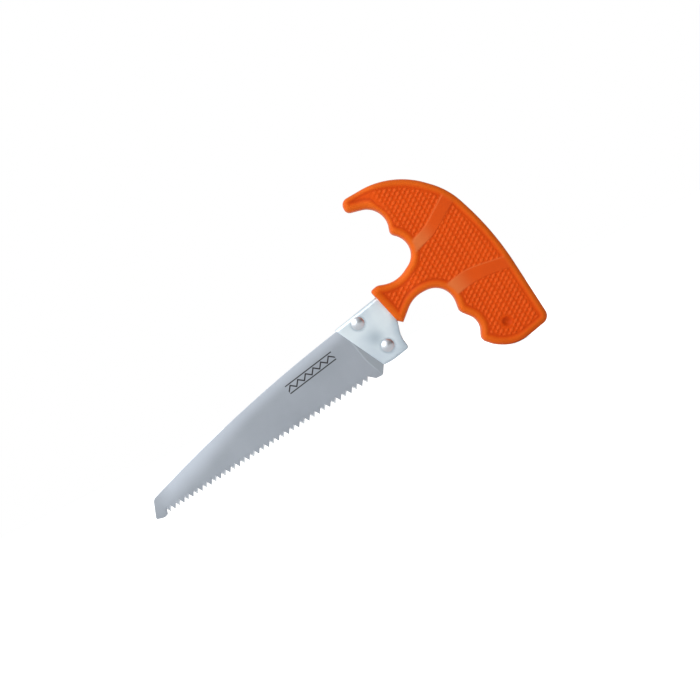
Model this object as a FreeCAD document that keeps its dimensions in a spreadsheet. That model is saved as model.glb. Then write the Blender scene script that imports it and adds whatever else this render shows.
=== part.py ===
import FreeCAD, Part
import math
import os
import Sketcher

# A hunter's game saw with a T-shaped handle, in millimetres.
#
# The saw stands on its edge, teeth down: +X runs from the blade's nose to the palm side of the handle,
# +Y across the thickness, +Z up. The origin is on the ground, in the middle of the saw's bounding box.
# The XZ plane is the middle plane of every piece.
#
# From the inside out: the ground blade lies in a folded sheet bracket and is held there by two domed
# rivets, each pressed together from a tube half and a post half. A rigid T-shaped core is moulded
# round the bracket's tang, and the soft rubber grip is moulded over the core.

# Driving dimensions, kept in the document's sheet: alias, value, meaning.
DIMENSIONS = [
    ("blade_thickness", 1.5, "blade sheet, unground"),
    ("ground_thickness", 1.2, "blade where it is ground thin"),
    ("tooth_count", 41, "peg teeth from nose to heel"),
    ("first_pitch", 2.716, "tip to tip at the nose, along X"),
    ("pitch_growth", 0.01625, "each pitch is this much longer than the one before"),
    ("tooth_depth", 2.5, "tip to gullet"),
    ("sheet_thickness", 1.0, "bracket sheet, one leaf"),
    ("fold_radius", 1.6, "outside rounding of the fold over the spine"),
    ("spine_rivet_x", 24.3, "rivet near the spine"),
    ("spine_rivet_z", 45.5, "rivet near the spine"),
    ("heel_rivet_x", 33.2, "rivet near the heel"),
    ("heel_rivet_z", 28.4, "rivet near the heel"),
    ("rivet_head_radius", 3.45, "domed head"),
    ("rivet_head_height", 1.75, "dome above the sheet"),
    ("rivet_rim_height", 0.35, "straight rim under the dome"),
    ("rivet_tube_radius", 2.0, "outside of the tube half, and the holes it fills"),
    ("rivet_post_radius", 1.25, "post pressed into the tube"),
    ("rivet_bore_depth", 3.0, "depth of the tube's bore from its open end"),
    ("key_hole_radius", 2.4, "holes in the tang that the core's plastic fills"),
    ("core_thickness", 11.0, "rigid core in the hand part"),
    ("core_neck_thickness", 8.0, "rigid core in the neck"),
    ("lock_hole_radius", 3.0, "holes in the core that the rubber flows through"),
    ("grip_thickness", 19.0, "rubber grip in the hand part"),
    ("grip_neck_thickness", 14.0, "rubber grip at the collar"),
    ("grip_edge_radius", 2.4, "rounding of the grip's outer edges"),
    ("panel_inset", 4.4, "smooth rim round the textured panels"),
    ("panel_recess", 0.4, "depth of the panels below rim and ribs"),
    ("dimple_radius", 2.8, "where the mould's pin pressed"),
    ("dimple_depth", 1.6, "dimple below the panel"),
    ("dimple_x", 93.9, "dimple centre"),
    ("dimple_z", 12.2, "dimple centre"),
]

# Line through the tooth tips: height at X = 0, and rise per millimetre.
TIP_LINE_HEIGHT = 13.8
TIP_LINE_SLOPE = 0.12
FIRST_TIP_X = -105.97

# Outlines are closed runs of corners (x, z, corner radius) on the XZ plane.
# Nose of the blade, from its spine corner down to the first gullet.
BLADE_NOSE = [
    (-111.4, 10.9, 3.0),
    (-114.84, 0.9, 0.8),
    (-110.4, -0.12, 3.0),
    (-108.2, 0.6, 0.4),
]
# The spine is one flat arc: start, middle, end.
BLADE_SPINE = [(-108.0, 12.15), (-50.0, 31.4), (12.0, 46.6)]
# Heel behind the last tooth, and the part of the blade hidden in the bracket and the handle.
BLADE_HEEL_AND_TANG = [
    (20.3, 15.8, 1.6),
    (24.3, 15.7, 1.6),
    (27.3, 20.9, 0),
    (41.9, 23.4, 1.0),
    (40.9, 29.8, 11.0),
    (43.4, 40.5, 0),
    (47.5, 45.3, 2.0),
    (58.0, 49.2, 1.0),
    (58.0, 53.0, 1.0),
    (50.0, 52.6, 6.0),
    (42.4, 53.2, 0),
]
# Part of the blade that is ground thin: everything in front of the step near the heel.
GROUND_FIELD = [
    (-120.0, -4.0, 0),
    (24.6, -4.0, 0),
    (24.4, 15.5, 0),
    (19.8, 26.0, 40.0),
    (17.3, 37.0, 0),
    (17.3, 60.0, 0),
    (-120.0, 60.0, 0),
]

BRACKET_OUTLINE = [
    (11.9, 47.6, 0),
    (27.0, 20.3, 0.4),
    (32.0, 20.3, 30.0),
    (42.8, 22.6, 1.5),
    (41.5, 29.6, 11.0),
    (43.9, 39.5, 2.0),
    (47.2, 44.6, 3.0),
    (56.0, 48.6, 4.0),
    (72.0, 49.2, 3.0),
    (77.5, 45.4, 3.0),
    (88.0, 45.4, 2.5),
    (88.0, 61.0, 2.5),
    (77.5, 61.0, 3.0),
    (70.0, 53.9, 3.0),
    (50.0, 53.2, 6.0),
    (42.0, 54.3, 0),
]
# Space between the bracket's two leaves. It stops one sheet thickness short of the fold.
BRACKET_SLOT = [
    (4.0, 44.85, 0),
    (4.0, 10.0, 0),
    (90.0, 10.0, 0),
    (90.0, 70.0, 0),
    (42.4, 70.0, 0),
    (42.4, 53.37, 0),
]
KEY_HOLES = [(82.5, 56.5), (82.5, 49.8)]

CORE_OUTLINE = [
    (44.5, 54.9, 1.0),
    (52.0, 54.6, 10.0),
    (65.5, 57.8, 6.0),
    (70.4, 67.0, 8.0),
    (64.5, 78.6, 4.0),
    (66.0, 93.0, 9.0),
    (58.5, 102.0, 3.0),
    (74.5, 103.0, 22.0),
    (93.5, 84.5, 30.0),
    (104.5, 56.0, 100.0),
    (109.5, 9.0, 3.0),
    (93.5, 3.5, 10.0),
    (83.2, 9.8, 3.0),
    (86.0, 19.0, 6.0),
    (78.8, 29.0, 3.0),
    (80.0, 42.0, 8.0),
    (71.0, 48.2, 6.0),
    (57.0, 47.2, 8.0),
    (46.8, 42.8, 1.0),
]
LOCK_HOLES = [(74.0, 96.0), (86.0, 84.0), (92.0, 66.0), (97.0, 46.0), (88.0, 33.0), (101.0, 24.0)]

GRIP_OUTLINE = [
    # hook over the first finger, then the long palm side
    (44.3, 106.25, 4.0),
    (74.4, 108.2, 44.5),
    (97.4, 87.1, 40.0),
    (109.0, 57.4, 150.0),
    (115.1, 3.8, 5.0),
    (93.4, -1.35, 20.0),
    # finger grooves below the neck
    (83.3, 4.1, 14.0),
    (77.9, 9.4, 4.0),
    (82.0, 19.0, 8.5),
    (74.4, 27.6, 4.0),
    (76.2, 45.1, 11.0),
    # neck and collar
    (56.2, 45.2, 16.0),
    (45.9, 35.6, 0),
    (43.2, 37.7, 0),
    (37.4, 57.5, 0),
    (42.0, 58.7, 4.0),
    (52.0, 55.7, 16.0),
    # finger grooves above the neck
    (73.1, 67.8, 10.3),
    (59.9, 79.6, 3.0),
    (64.0, 94.8, 11.3),
    (44.2, 99.1, 3.2),
]
# Smooth ribs that stand up between the textured panels.
UPPER_RIB = [
    (64.0, 69.6, 0),
    (77.5, 74.6, 25.0),
    (99.0, 90.2, 0),
    (103.0, 84.5, 0),
    (80.5, 69.5, 25.0),
    (60.0, 62.6, 0),
]
LOWER_RIB = [
    (66.0, 40.0, 0),
    (84.0, 46.2, 40.0),
    (116.0, 41.6, 0),
    (116.0, 35.8, 0),
    (90.0, 38.8, 60.0),
    (70.0, 34.4, 0),
]

# The grip and the core are at neck thickness up to these X, then swell in an S of two arcs.
NECK_END_X = 50.0
CORE_NECK_END_X = 62.0
NECK_BLEND_RADIUS = 20.0
# The neck's relief starts ahead of the collar, and reaches this far out from the hand part's face.
RELIEF_START_X = 20.0
RELIEF_MARGIN = 3.0

# How far cutting tools run past the piece that they cut.
TOOL_MARGIN = 2.0
# Tall enough to run past the whole grip, up and down.
RELIEF_HEIGHT = 300.0

# Boxes that tell one run of edges from the rest, on the finished shapes.
FOLD_MIN_LENGTH = 20.0
FOLD_MIN_Z = 47.0
FOLD_MAX_X = 43.0
COLLAR_MIN_X = 43.3
COLLAR_MAX_X = 46.5
RIM_MIN_Y = 5.0
RIM_MAX_Y_RUN = 6.0
SAME_PLACE = 0.01


def make_sheet(doc):
    """Spreadsheet with one aliased cell per driving dimension."""
    sheet = doc.addObject("Spreadsheet::Sheet", "Sizes")
    for row, (alias, number, meaning) in enumerate(DIMENSIONS, start=1):
        sheet.set(f"A{row}", alias)
        sheet.set(f"B{row}", str(number))
        sheet.set(f"C{row}", meaning)
        sheet.setAlias(f"B{row}", alias)
    doc.recompute()
    return sheet


def vector(x, z):
    return FreeCAD.Vector(x, z, 0)


def corner_arc(before, corner, after):
    """Tangent arc at a corner, as (start point, end point, arc)."""
    x, z, radius = corner
    apex = vector(x, z)
    back = (vector(*before[:2]) - apex).normalize()
    ahead = (vector(*after[:2]) - apex).normalize()
    half_angle = back.getAngle(ahead) / 2
    setback = radius / math.tan(half_angle)
    start = apex + back * setback
    end = apex + ahead * setback
    centre = apex + (back + ahead).normalize() * (radius / math.sin(half_angle))
    middle = centre + (apex - centre).normalize() * radius
    return start, end, Part.Arc(start, middle, end)


def outline_edges(corners):
    """Lines and tangent arcs of a closed outline."""
    count = len(corners)
    stations = []
    for index, corner in enumerate(corners):
        if corner[2] > 0:
            stations.append(corner_arc(corners[index - 1], corner, corners[(index + 1) % count]))
        else:
            point = vector(*corner[:2])
            stations.append((point, point, None))
    edges = []
    for index, (start, end, arc) in enumerate(stations):
        if arc:
            edges.append(arc)
        following = stations[(index + 1) % count][0]
        if end.distanceToPoint(following) > 1e-6:
            edges.append(Part.LineSegment(end, following))
    return edges


def plane_of(body, role):
    return next(item for item in body.Origin.OriginFeatures if item.Role == role)


def body_sketch(body, name, role="XZ_Plane"):
    """Sketch on one of the body's own origin planes."""
    sketch = body.newObject("Sketcher::SketchObject", name)
    sketch.AttachmentSupport = [(plane_of(body, role), "")]
    sketch.MapMode = "FlatFace"
    return sketch


def free_sketch(doc, name, across_z=False):
    """Sketch outside any body, on the XZ plane, or on the XY plane if across_z."""
    sketch = doc.addObject("Sketcher::SketchObject", name)
    if not across_z:
        sketch.Placement = FreeCAD.Placement(FreeCAD.Vector(), FreeCAD.Rotation(FreeCAD.Vector(1, 0, 0), 90))
    return sketch


def add_blocked(sketch, edges):
    """Add edges that stay exactly where they are drawn."""
    for edge in edges:
        index = sketch.addGeometry(edge, False)
        sketch.addConstraint(Sketcher.Constraint("Block", index))


def add_circle(sketch, x, z, radius_alias, sheet):
    """Circle at a fixed centre whose radius follows the sheet."""
    radius = sheet.get(radius_alias)
    index = sketch.addGeometry(Part.Circle(vector(x, z), FreeCAD.Vector(0, 0, 1), radius), False)
    sketch.addConstraint(Sketcher.Constraint("DistanceX", -1, 1, index, 3, x))
    sketch.addConstraint(Sketcher.Constraint("DistanceY", -1, 1, index, 3, z))
    constraint = sketch.addConstraint(Sketcher.Constraint("Radius", index, radius))
    sketch.setExpression(f"Constraints[{constraint}]", f"Sizes.{radius_alias}")
    return index


def add_rivet_holes(sketch, sheet):
    """Two rivet holes whose centres and radius all follow the sheet."""
    for rivet in ("spine_rivet", "heel_rivet"):
        x = sheet.get(f"{rivet}_x")
        z = sheet.get(f"{rivet}_z")
        add_circle(sketch, x, z, "rivet_tube_radius", sheet)
        last = sketch.ConstraintCount - 1
        sketch.setExpression(f"Constraints[{last - 2}]", f"Sizes.{rivet}_x")
        sketch.setExpression(f"Constraints[{last - 1}]", f"Sizes.{rivet}_z")


def symmetric_pad(body, sketch, name, length):
    pad = body.newObject("PartDesign::Pad", name)
    pad.Profile = sketch
    pad.SideType = "Symmetric"
    pad.setExpression("Length", length)
    return pad


def symmetric_pocket(body, sketch, name, length):
    pocket = body.newObject("PartDesign::Pocket", name)
    pocket.Profile = sketch
    pocket.SideType = "Symmetric"
    pocket.setExpression("Length", length)
    return pocket


def tooth_line(sheet):
    """Points from the first gullet to the last: gullet, tip, gullet and so on."""
    depth = sheet.get("tooth_depth")
    pitch = sheet.get("first_pitch")
    x = FIRST_TIP_X
    points = []
    for tooth in range(int(sheet.get("tooth_count"))):
        gullet_x = x - pitch / 2
        points.append((gullet_x, TIP_LINE_HEIGHT + TIP_LINE_SLOPE * gullet_x + depth, 0))
        points.append((x, TIP_LINE_HEIGHT + TIP_LINE_SLOPE * x, 0))
        x += pitch
        pitch += sheet.get("pitch_growth")
    gullet_x = x - pitch / 2
    points.append((gullet_x, TIP_LINE_HEIGHT + TIP_LINE_SLOPE * gullet_x + depth, 0))
    return points


def blade_edges(sheet):
    """Closed outline of the blade: corners all round, with the spine swapped for one flat arc."""
    start, middle, end = [vector(x, z) for x, z in BLADE_SPINE]
    corners = BLADE_NOSE + tooth_line(sheet) + BLADE_HEEL_AND_TANG
    corners = [(start.x, start.y, 0)] + corners + [(end.x, end.y, 0)]
    edges = outline_edges(corners)
    return edges[:-1] + [Part.Arc(end, middle, start)]


def make_blade(doc, sheet):
    """Toothed blade, ground thin on both sides in front of the heel."""
    body = doc.addObject("PartDesign::Body", "saw_blade")
    outline = body_sketch(body, "blade_outline")
    add_blocked(outline, blade_edges(sheet))
    add_rivet_holes(outline, sheet)
    doc.recompute()
    symmetric_pad(body, outline, "blade_blank", "Sizes.blade_thickness")
    doc.recompute()
    before = body.Shape.Volume

    field = body_sketch(body, "ground_field")
    field.setExpression("AttachmentOffset.Base.z", "Sizes.ground_thickness / 2")
    add_blocked(field, outline_edges(GROUND_FIELD))
    doc.recompute()
    grind = body.newObject("PartDesign::Pocket", "front_grind")
    grind.Profile = field
    grind.Reversed = True
    grind.setExpression("Length", "Sizes.blade_thickness")
    doc.recompute()

    back = body.newObject("PartDesign::Mirrored", "back_grind")
    back.Originals = [grind]
    back.MirrorPlane = (plane_of(body, "XZ_Plane"), [""])
    body.Tip = back
    doc.recompute()
    check_cut("grind", before, body.Shape.Volume)
    return body


def fold_edges(shape, half):
    """Names of the two long outside edges of the fold over the spine."""
    names = []
    for number, edge in enumerate(shape.Edges, start=1):
        box = edge.BoundBox
        long_enough = box.XLength > FOLD_MIN_LENGTH
        at_the_top = box.ZMin > FOLD_MIN_Z and box.XMax < FOLD_MAX_X
        on_the_face = abs(abs(edge.CenterOfMass.y) - half) < SAME_PLACE
        if long_enough and at_the_top and on_the_face:
            names.append(f"Edge{number}")
    return names


def make_bracket(doc, sheet):
    """Sheet bracket folded over the spine, with a tang that ends in a wide head."""
    body = doc.addObject("PartDesign::Body", "blade_bracket")
    outline = body_sketch(body, "bracket_outline")
    add_blocked(outline, outline_edges(BRACKET_OUTLINE))
    add_rivet_holes(outline, sheet)
    for x, z in KEY_HOLES:
        add_circle(outline, x, z, "key_hole_radius", sheet)
    doc.recompute()
    width = "Sizes.blade_thickness + 2 * Sizes.sheet_thickness"
    pad = symmetric_pad(body, outline, "bracket_block", width)
    doc.recompute()
    before = body.Shape.Volume

    slot = body_sketch(body, "leaf_gap")
    add_blocked(slot, outline_edges(BRACKET_SLOT))
    doc.recompute()
    gap = symmetric_pocket(body, slot, "gap_between_leaves", "Sizes.blade_thickness")
    doc.recompute()
    check_cut("gap between the leaves", before, body.Shape.Volume)

    half = sheet.get("blade_thickness") / 2 + sheet.get("sheet_thickness")
    fold = body.newObject("PartDesign::Fillet", "rounded_fold")
    fold.Base = (gap, fold_edges(gap.Shape, half))
    fold.setExpression("Radius", "Sizes.fold_radius")
    doc.recompute()
    return body


def revolved_body(doc, name, profile):
    """Body turned about the Y axis from a profile of (radius, y) edges."""
    body = doc.addObject("PartDesign::Body", name)
    sketch = body_sketch(body, f"{name}_profile", "XY_Plane")
    add_blocked(sketch, profile)
    doc.recompute()
    turned = body.newObject("PartDesign::Revolution", f"{name}_turned")
    turned.Profile = sketch
    turned.ReferenceAxis = (sketch, ["V_Axis"])
    turned.Angle = 360
    doc.recompute()
    return body


def line_run(points):
    return [Part.LineSegment(vector(*a), vector(*b)) for a, b in zip(points, points[1:])]


def head_edges(sheet, face, outward):
    """Domed head on the face at y = face: from the axis over the dome, down the rim, to its underside."""
    radius = sheet.get("rivet_head_radius")
    rim = face + outward * sheet.get("rivet_rim_height")
    rise = outward * (sheet.get("rivet_head_height") - sheet.get("rivet_rim_height"))
    bulge = abs(rise)
    sphere = (radius**2 + bulge**2) / (2 * bulge)
    half_way = math.asin(radius / sphere) / 2
    middle_y = rim + rise - outward * sphere * (1 - math.cos(half_way))
    top = vector(0, rim + rise)
    middle = vector(sphere * math.sin(half_way), middle_y)
    edge = vector(radius, rim)
    return [Part.Arc(top, middle, edge), Part.LineSegment(edge, vector(radius, face))]


def tube_profile(sheet):
    """Front half: head on the front face, hollow tube through the stack, open at the back."""
    half = sheet.get("blade_thickness") / 2 + sheet.get("sheet_thickness")
    head = head_edges(sheet, -half, -1)
    tube = sheet.get("rivet_tube_radius")
    bore = sheet.get("rivet_post_radius")
    floor = half - sheet.get("rivet_bore_depth")
    run = [
        (sheet.get("rivet_head_radius"), -half),
        (tube, -half),
        (tube, half),
        (bore, half),
        (bore, floor),
        (0, floor),
        (0, -half - sheet.get("rivet_head_height")),
    ]
    return head + line_run(run)


def post_profile(sheet):
    """Back half: head on the back face, solid post that fills the tube's bore."""
    half = sheet.get("blade_thickness") / 2 + sheet.get("sheet_thickness")
    head = head_edges(sheet, half, 1)
    post = sheet.get("rivet_post_radius")
    floor = half - sheet.get("rivet_bore_depth")
    run = [
        (sheet.get("rivet_head_radius"), half),
        (post, half),
        (post, floor),
        (0, floor),
        (0, half + sheet.get("rivet_head_height")),
    ]
    return head + line_run(run)


def make_rivets(doc, sheet):
    """Two press-fit rivets, each of a tube half and a post half."""
    bodies = []
    for rivet in ("spine_rivet", "heel_rivet"):
        for half_name, profile in (("tube", tube_profile(sheet)), ("post", post_profile(sheet))):
            body = revolved_body(doc, f"{rivet}_{half_name}", profile)
            body.setExpression("Placement.Base.x", f"Sizes.{rivet}_x")
            body.setExpression("Placement.Base.z", f"Sizes.{rivet}_z")
            bodies.append(body)
    doc.recompute()
    return bodies


def make_core_body(doc, sheet):
    """Rigid T-shaped core before the tang's space is taken out of it."""
    body = doc.addObject("PartDesign::Body", "core_body")
    outline = body_sketch(body, "core_outline")
    add_blocked(outline, outline_edges(CORE_OUTLINE))
    for x, z in LOCK_HOLES:
        add_circle(outline, x, z, "lock_hole_radius", sheet)
    doc.recompute()
    symmetric_pad(body, outline, "core_slab", "Sizes.core_thickness")
    doc.recompute()
    before = body.Shape.Volume

    relief = body_sketch(body, "core_neck_relief", "XY_Plane")
    add_blocked(relief, neck_relief_edges(
        sheet.get("core_neck_thickness") / 2, sheet.get("core_thickness") / 2, CORE_NECK_END_X, 1))
    add_blocked(relief, neck_relief_edges(
        sheet.get("core_neck_thickness") / 2, sheet.get("core_thickness") / 2, CORE_NECK_END_X, -1))
    doc.recompute()
    thinning = body.newObject("PartDesign::Pocket", "thin_core_neck")
    thinning.Profile = relief
    thinning.SideType = "Symmetric"
    thinning.Type = "ThroughAll"
    doc.recompute()
    check_cut("core neck", before, body.Shape.Volume)
    return body


def neck_relief_edges(neck_half, hand_half, end_x, side):
    """Closed area beside the neck: flat, then an S of two arcs up to the hand part's face."""
    step = hand_half - neck_half
    swing = math.acos(1 - step / (2 * NECK_BLEND_RADIUS))
    reach = NECK_BLEND_RADIUS * math.sin(swing)
    sag = NECK_BLEND_RADIUS * (1 - math.cos(swing / 2))
    lead = NECK_BLEND_RADIUS * math.sin(swing / 2)
    outer = hand_half + RELIEF_MARGIN
    far_x = end_x + 2 * reach
    points = {
        "start": (RELIEF_START_X, neck_half),
        "bend": (end_x, neck_half),
        "rise": (end_x + lead, neck_half + sag),
        "middle": (end_x + reach, neck_half + step / 2),
        "crest": (far_x - lead, hand_half - sag),
        "end": (far_x, hand_half),
        "out": (far_x, outer),
        "back": (RELIEF_START_X, outer),
    }
    place = {name: vector(x, side * y) for name, (x, y) in points.items()}
    return [
        Part.LineSegment(place["start"], place["bend"]),
        Part.Arc(place["bend"], place["rise"], place["middle"]),
        Part.Arc(place["middle"], place["crest"], place["end"]),
        Part.LineSegment(place["end"], place["out"]),
        Part.LineSegment(place["out"], place["back"]),
        Part.LineSegment(place["back"], place["start"]),
    ]


def extrusion(doc, name, base, length, along=(0, 1, 0)):
    """Solid pushed out both ways from a closed sketch or wire."""
    solid = doc.addObject("Part::Extrusion", name)
    solid.Base = base
    solid.DirMode = "Custom"
    solid.Dir = FreeCAD.Vector(*along)
    solid.Symmetric = True
    solid.Solid = True
    solid.setExpression("LengthFwd", length)
    return solid


def cut(doc, name, base, tool):
    result = doc.addObject("Part::Cut", name)
    result.Base = base
    result.Tool = tool
    doc.recompute()
    check_cut(name, base.Shape.Volume, result.Shape.Volume)
    return result


def fuse(doc, name, shapes):
    result = doc.addObject("Part::MultiFuse", name)
    result.Shapes = shapes
    doc.recompute()
    return result


def check_cut(what, before, after):
    if after > before - SAME_PLACE:
        raise RuntimeError(f"{what} removed nothing")


def rim_edges(shape):
    """Numbers of the grip's long outer edges, all but those of the collar's end faces."""
    numbers = []
    for number, edge in enumerate(shape.Edges, start=1):
        middle = edge.CenterOfMass
        runs_across = edge.BoundBox.YLength > RIM_MAX_Y_RUN
        on_the_collar = edge.BoundBox.XMax < COLLAR_MAX_X and edge.BoundBox.XMin < COLLAR_MIN_X
        on_a_side = abs(middle.y) > RIM_MIN_Y
        if on_a_side and not runs_across and not on_the_collar:
            numbers.append(number)
    return numbers


def make_grip_outside(doc, sheet):
    """Outside of the rubber grip: slab, thinner neck, rounded rim, recessed panels."""
    outline = free_sketch(doc, "grip_outline")
    add_blocked(outline, outline_edges(GRIP_OUTLINE))
    doc.recompute()
    slab = extrusion(doc, "grip_slab", outline, "Sizes.grip_thickness")
    relief = free_sketch(doc, "grip_neck_relief", across_z=True)
    for side in (1, -1):
        add_blocked(relief, neck_relief_edges(
            sheet.get("grip_neck_thickness") / 2, sheet.get("grip_thickness") / 2, NECK_END_X, side))
    beside = extrusion(doc, "beside_the_neck", relief, f"{RELIEF_HEIGHT}", along=(0, 0, 1))
    doc.recompute()
    necked = cut(doc, "necked_slab", slab, beside)

    rounded = doc.addObject("Part::Fillet", "rounded_grip")
    rounded.Base = necked
    radius = sheet.get("grip_edge_radius")
    rounded.Edges = [(number, radius, radius) for number in rim_edges(necked.Shape)]
    doc.recompute()
    return outline, rounded


def make_panel_tools(doc, sheet, outline):
    """Two shallow blocks, front and back, that sink the panels and leave rim and ribs standing."""
    field = doc.addObject("Part::Offset2D", "panel_field")
    field.Source = outline
    field.Join = "Intersection"
    field.setExpression("Value", "-Sizes.panel_inset")
    past_both_faces = f"Sizes.grip_thickness + 2 * {TOOL_MARGIN}"
    block = extrusion(doc, "panel_block", field, past_both_faces)
    middle = extrusion(doc, "panel_middle", field, "Sizes.grip_thickness - 2 * Sizes.panel_recess")
    doc.recompute()
    ribs = []
    for name, corners in (("upper_rib", UPPER_RIB), ("lower_rib", LOWER_RIB)):
        rib_sketch = free_sketch(doc, f"{name}_outline")
        add_blocked(rib_sketch, outline_edges(corners))
        ribs.append(extrusion(doc, name, rib_sketch, f"Sizes.grip_thickness + 4 * {TOOL_MARGIN}"))
    doc.recompute()
    kept = fuse(doc, "kept_material", [middle, *ribs])
    return cut(doc, "panel_tool", block, kept)


def make_dimple_tools(doc):
    """Two short pins, front and back, that press a round dimple into each side's lower panel."""
    floor = "Sizes.grip_thickness / 2 - Sizes.panel_recess - Sizes.dimple_depth"
    pins = []
    for name, top in (
        ("front_dimple_pin", f"-({floor})"),
        ("back_dimple_pin", f"Sizes.grip_thickness / 2 + {TOOL_MARGIN}"),
    ):
        pin = doc.addObject("Part::Cylinder", name)
        pin.setExpression("Radius", "Sizes.dimple_radius")
        pin.setExpression("Height", f"Sizes.panel_recess + Sizes.dimple_depth + {TOOL_MARGIN}")
        pin.Placement.Rotation = FreeCAD.Rotation(FreeCAD.Vector(1, 0, 0), 90)
        pin.setExpression("Placement.Base.x", "Sizes.dimple_x")
        pin.setExpression("Placement.Base.y", top)
        pin.setExpression("Placement.Base.z", "Sizes.dimple_z")
        pins.append(pin)
    return fuse(doc, "dimple_pins", pins)


def make_grip(doc, sheet, core_body, steel):
    """Rubber grip: outside shape, panels, dimples and the cavity that the core and the tang fill."""
    outline, rounded = make_grip_outside(doc, sheet)
    panelled = cut(doc, "panelled_grip", rounded, make_panel_tools(doc, sheet, outline))
    dimpled = cut(doc, "dimpled_grip", panelled, make_dimple_tools(doc))
    hollow = cut(doc, "hollow_grip", dimpled, core_body)
    return cut(doc, "grip", hollow, steel)


def check_document(doc):
    for item in doc.Objects:
        if "Invalid" in item.State or "Error" in item.State:
            raise RuntimeError(f"{item.Label} failed: {item.State}")


def export(pieces):
    """Write one STEP file per piece, after checking every shape."""
    for piece in pieces:
        shape = piece.Shape
        if shape.isNull() or not shape.isValid() or not shape.Solids:
            raise RuntimeError(f"{piece.Label} has no valid solid")
    os.makedirs("parts", exist_ok=True)
    for piece in pieces:
        piece.Shape.exportStep(f"parts/{piece.Label}.step")
        box = piece.Shape.optimalBoundingBox()
        print(f"{piece.Label}: {len(piece.Shape.Solids)} solid, {piece.Shape.Volume:.0f} mm3, "
              f"x {box.XMin:.2f}..{box.XMax:.2f}, y {box.YMin:.2f}..{box.YMax:.2f}, "
              f"z {box.ZMin:.2f}..{box.ZMax:.2f}")


def main():
    doc = FreeCAD.newDocument("game_saw")
    sheet = make_sheet(doc)
    blade = make_blade(doc, sheet)
    bracket = make_bracket(doc, sheet)
    rivets = make_rivets(doc, sheet)
    steel = fuse(doc, "steel_in_the_handle", [blade, bracket])
    core_body = make_core_body(doc, sheet)
    core = cut(doc, "handle_core", core_body, steel)
    grip = make_grip(doc, sheet, core_body, steel)
    doc.recompute()
    check_document(doc)
    export([blade, bracket, *rivets, core, grip])


main()
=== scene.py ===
import math

import bpy
import numpy as np
from mathutils import Matrix, Vector
from mathutils.geometry import delaunay_2d_cdt


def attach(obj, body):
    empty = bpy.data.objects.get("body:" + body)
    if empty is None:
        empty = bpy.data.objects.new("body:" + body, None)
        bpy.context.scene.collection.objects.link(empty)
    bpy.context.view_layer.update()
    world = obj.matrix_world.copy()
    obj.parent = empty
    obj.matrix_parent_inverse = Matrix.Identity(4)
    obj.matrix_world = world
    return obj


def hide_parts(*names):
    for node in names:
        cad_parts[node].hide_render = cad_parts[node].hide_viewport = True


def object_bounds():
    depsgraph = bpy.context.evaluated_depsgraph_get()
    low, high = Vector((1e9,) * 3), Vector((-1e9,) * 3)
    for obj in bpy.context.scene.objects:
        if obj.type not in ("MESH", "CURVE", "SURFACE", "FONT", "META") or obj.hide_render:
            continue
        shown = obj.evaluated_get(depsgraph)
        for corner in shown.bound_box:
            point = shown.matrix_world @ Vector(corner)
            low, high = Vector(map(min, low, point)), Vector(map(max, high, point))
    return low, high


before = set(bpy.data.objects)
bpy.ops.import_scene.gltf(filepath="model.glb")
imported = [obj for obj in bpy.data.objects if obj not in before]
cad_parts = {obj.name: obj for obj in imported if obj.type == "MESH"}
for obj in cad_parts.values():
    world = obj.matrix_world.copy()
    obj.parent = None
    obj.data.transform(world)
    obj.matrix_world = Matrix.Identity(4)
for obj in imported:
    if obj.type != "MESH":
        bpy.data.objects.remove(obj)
CAD_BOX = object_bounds()

# Looks of a hunter's game saw with a T-shaped handle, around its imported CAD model. Shapes are worked
# out in millimetres on the saw's middle plane, X along the blade and Z up, and turned into metres when
# a mesh is made. Y runs across the thickness and the front side faces -Y.

MM = 0.001

# Grip: outline corners (x, z, corner radius), as in the CAD source, with the collar's corners eased.
GRIP_OUTLINE = [
    (44.3, 106.25, 4.0),
    (74.4, 108.2, 44.5),
    (97.4, 87.1, 40.0),
    (109.0, 57.4, 150.0),
    (115.1, 3.8, 5.0),
    (93.4, -1.35, 20.0),
    (83.3, 4.1, 14.0),
    (77.9, 9.4, 4.0),
    (82.0, 19.0, 8.5),
    (74.4, 27.6, 4.0),
    (76.2, 45.1, 11.0),
    (56.2, 45.2, 16.0),
    (45.9, 35.6, 0.5),
    (43.2, 37.7, 0.3),
    (37.4, 57.5, 1.4),
    (42.0, 58.7, 4.0),
    (52.0, 55.7, 16.0),
    (73.1, 67.8, 10.3),
    (59.9, 79.6, 3.0),
    (64.0, 94.8, 11.3),
    (44.2, 99.1, 3.2),
]
COLLAR_LINE = [(43.2, 37.7), (37.4, 57.5)]
# The hook's underside and bay: the outline up to this X, above the bay's lower end, below the tip.
HOOK_MAX_X = 67.0
HOOK_MIN_Z = 79.0
HOOK_TIP_Z = 101.5
UPPER_RIB = [
    (64.0, 69.6, 0),
    (77.5, 74.6, 25.0),
    (99.0, 90.2, 0),
    (103.0, 84.5, 0),
    (80.5, 69.5, 25.0),
    (60.0, 62.6, 0),
]
LOWER_RIB = [
    (64.0, 39.3, 0),
    (84.0, 46.2, 40.0),
    (118.0, 41.3, 0),
    (118.0, 35.4, 0),
    (90.0, 38.8, 60.0),
    (68.0, 33.9, 0),
]
OUTLINE_STEP = 0.6
# Half thickness in the neck and in the hand part, and the S of two arcs between them.
NECK_HALF = 7.0
HAND_HALF = 9.5
NECK_END_X = 50.0
NECK_BLEND_RADIUS = 20.0
# The faces' edges lie this far inside the outline, which is the ridge where the mould parts.
WALL_DRAFT = 0.2
# Rings of the wall from front to back: share of the half thickness, and how far inside the outline.
GRIP_WALL = [(-0.5, 0.13), (-0.03, 0.1), (0.0, 0.0), (0.03, 0.1), (0.5, 0.13)]
EDGE_RADIUS = 3.0
COLLAR_EDGE_RADIUS = 0.9
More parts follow.
